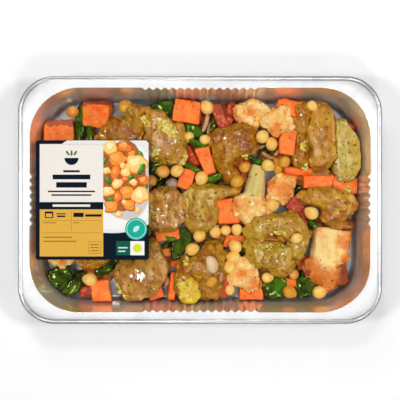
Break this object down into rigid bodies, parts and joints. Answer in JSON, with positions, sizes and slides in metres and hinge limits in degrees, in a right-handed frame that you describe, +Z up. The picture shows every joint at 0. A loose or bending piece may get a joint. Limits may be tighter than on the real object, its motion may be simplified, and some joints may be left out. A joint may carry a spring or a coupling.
{
  "type": "foil tray meal",
  "caption": "Shallow foil tray with fluted walls and a rolled rim, filled with raw marinated chicken, cauliflower, sweet potato and green pods, sealed by a clear film with a paper label.",
  "frame": {"origin": "middle of the tray's flat underside", "axes": "+X along the tray's length, away from the label; +Y across its width; +Z up, out through the film"},
  "size_m": [0.31, 0.211, 0.0426],
  "materials": {
    "foil": "bright rolled foil",
    "film": "clear and taut",
    "label_paper": "coated print in plain fields of colour",
    "chicken": "wet with oily marinade",
    "cauliflower": "moist, stained by the marinade",
    "sweet_potato": "moist cut faces",
    "green_pod": "waxy",
    "chickpea": "moist"
  },
  "bodies": {
    "root": {"cauliflower_back_left": "cauliflower", "cauliflower_back_right": "cauliflower", "cauliflower_corner": "cauliflower", "cauliflower_front_left": "cauliflower", "cauliflower_front_middle": "cauliflower", "cauliflower_middle": "cauliflower", "cauliflower_right_middle": "cauliflower", "cauliflower_stained_front": "cauliflower", "cauliflower_under_label_back": "cauliflower", "chicken_band_right": "chicken", "chicken_big_back": "chicken", "chicken_by_label": "chicken", "chicken_centre": "chicken", "chicken_corner_left": "chicken", "chicken_corner_middle": "chicken", "chicken_corner_right": "chicken", "chicken_folded_front": "chicken", "chicken_front_right": "chicken", "chicken_glossy": "chicken", "chicken_large_front": "chicken", "chicken_left_back": "chicken", "chicken_right": "chicken", "chicken_under_label_front": "chicken", "chicken_under_label_middle": "chicken", "chickpea_back_middle": "chickpea", "chickpea_back_right": "chickpea", "chickpea_by_label": "chickpea", "chickpea_front_right": "chickpea", "chickpea_middle": "chickpea", "chickpea_right": "chickpea", "chickpea_right_front": "chickpea", "chickpea_right_middle": "chickpea", "foil_tray": "foil", "label": "label_paper", "lidding_film": "film", "pod_back_left": "green_pod", "pod_back_middle": "green_pod", "pod_front_corner": "green_pod", "pod_front_left": "green_pod", "pod_front_left_edge": "green_pod", "pod_front_middle": "green_pod", "pod_front_right": "green_pod", "pod_middle_back": "green_pod", "pod_middle_left": "green_pod", "sweet_potato_back_left": "sweet_potato", "sweet_potato_back_middle": "sweet_potato", "sweet_potato_back_right": "sweet_potato", "sweet_potato_centre": "sweet_potato", "sweet_potato_front_left": "sweet_potato", "sweet_potato_front_middle": "sweet_potato", "sweet_potato_left": "sweet_potato", "sweet_potato_middle": "sweet_potato", "sweet_potato_middle_left": "sweet_potato", "sweet_potato_right": "sweet_potato", "sweet_potato_right_back": "sweet_potato", "sweet_potato_right_middle": "sweet_potato", "sweet_potato_right_wall": "sweet_potato", "sweet_potato_slab_back": "sweet_potato", "sweet_potato_under_label_right": "sweet_potato", "sweet_potato_upright": "sweet_potato"}
  },
  "joints": []
}
